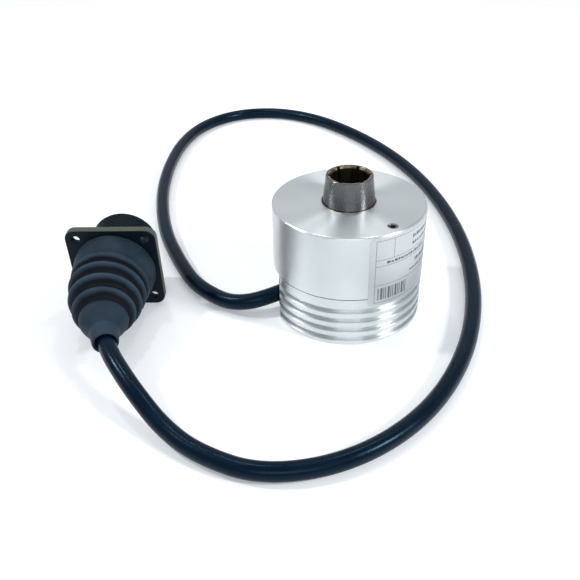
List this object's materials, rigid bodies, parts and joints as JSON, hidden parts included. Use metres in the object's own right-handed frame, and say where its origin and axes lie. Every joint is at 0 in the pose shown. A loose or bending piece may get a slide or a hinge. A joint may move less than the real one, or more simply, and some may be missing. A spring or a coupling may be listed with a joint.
{
  "type": "rotary encoder",
  "caption": "Blind hollow-shaft rotary encoder: grooved round housing, tapered clamping nose, shielded cable and square-flange circular connector with bellows boot.",
  "frame": {"origin": "shaft axis where it meets the rear face of the housing, at the bottom", "axes": "+Z along the shaft towards its open clamping end, -X towards the cable exit"},
  "size_m": [0.1685, 0.3111, 0.0565],
  "materials": {
    "anodised_aluminium": "satin turned",
    "shaft_steel": "fine turned",
    "bearing_steel": "polished",
    "screw_steel": "zinc plated",
    "black_steel": "blackened",
    "brass": "turned",
    "rubber": "matte",
    "black_plastic": "moulded",
    "cage_plastic": "moulded",
    "label_foil": "printed foil",
    "disc_glass": "clear",
    "clear_lens": "clear",
    "circuit_board": "solder mask",
    "chip_black": "moulded",
    "capacitor_can": "drawn",
    "header_white": "moulded",
    "cable_jacket": "semi-matte extruded",
    "wire_insulation": "extruded",
    "connector_metal": "olive-black conversion coat",
    "insert_plastic": "moulded",
    "contact_gold": "gold plated",
    "boot_rubber": "matte moulded"
  },
  "bodies": {
    "housing": {"housing_can": "anodised_aluminium", "rear_cap": "anodised_aluminium", "joint_gasket": "rubber", "guard_ring": "brass", "cap_screws": "screw_steel", "grub_screw": "black_steel", "rating_label": "label_foil", "access_plug": "black_plastic", "plug_oring": "rubber", "shaft_seal": "rubber", "retainer_plate": "screw_steel", "retainer_screws": "screw_steel", "upper_bearing_outer_ring": "bearing_steel", "lower_bearing_outer_ring": "bearing_steel", "outer_spacer": "anodised_aluminium", "preload_spring": "screw_steel", "main_board": "circuit_board", "board_screws": "screw_steel", "led_holder": "black_plastic", "led_lens": "clear_lens", "detector_chip": "chip_black", "scan_reticle": "disc_glass", "board_chips": "chip_black", "board_capacitors": "capacitor_can", "wire_header": "header_white", "cable_gland": "rubber", "cable_tail": "cable_jacket", "shield_ferrule": "brass", "lead_wires": "wire_insulation", "connector_shell": "connector_metal", "connector_insert": "insert_plastic", "contact_pins": "contact_gold", "insert_ring": "insert_plastic", "cable_boot": "boot_rubber", "boot_leads": "wire_insulation", "boot_cable_end": "cable_jacket", "cable": "cable_jacket"},
    "rotor": {"hollow_shaft": "shaft_steel", "collet_sleeve": "brass", "shaft_circlip": "black_steel", "screw_keeper": "black_steel", "disc_hub": "brass", "hub_screws": "black_steel", "code_disc": "disc_glass", "disc_clamp_ring": "brass", "inner_spacer": "anodised_aluminium", "upper_bearing_inner_ring": "bearing_steel", "lower_bearing_inner_ring": "bearing_steel"},
    "upper_cage_set": {"upper_bearing_balls": "bearing_steel", "upper_bearing_cage": "cage_plastic"},
    "lower_cage_set": {"lower_bearing_balls": "bearing_steel", "lower_bearing_cage": "cage_plastic"},
    "draw_screw_body": {"draw_screw": "screw_steel"}
  },
  "joints": [
    {"name": "shaft_spin", "type": "hinge", "parent": "housing", "child": "rotor", "pos_m": [0, 0, 0.03], "axis": [0, 0, 1], "continuous": true},
    {"name": "upper_cage_spin", "type": "hinge", "parent": "housing", "child": "upper_cage_set", "pos_m": [0, 0, 0.0365], "axis": [0, 0, 1], "continuous": true},
    {"name": "lower_cage_spin", "type": "hinge", "parent": "housing", "child": "lower_cage_set", "pos_m": [0, 0, 0.0261], "axis": [0, 0, 1], "continuous": true},
    {"name": "draw_screw_travel", "type": "slide", "parent": "rotor", "child": "draw_screw_body", "axis": [0, 0, 1], "range_m": [0, 0.009]}
  ],
  "couplings": [
    {"joint": "upper_cage_spin", "follows": "shaft_spin", "ratio": 0.43269},
    {"joint": "lower_cage_spin", "follows": "shaft_spin", "ratio": 0.43269}
  ]
}
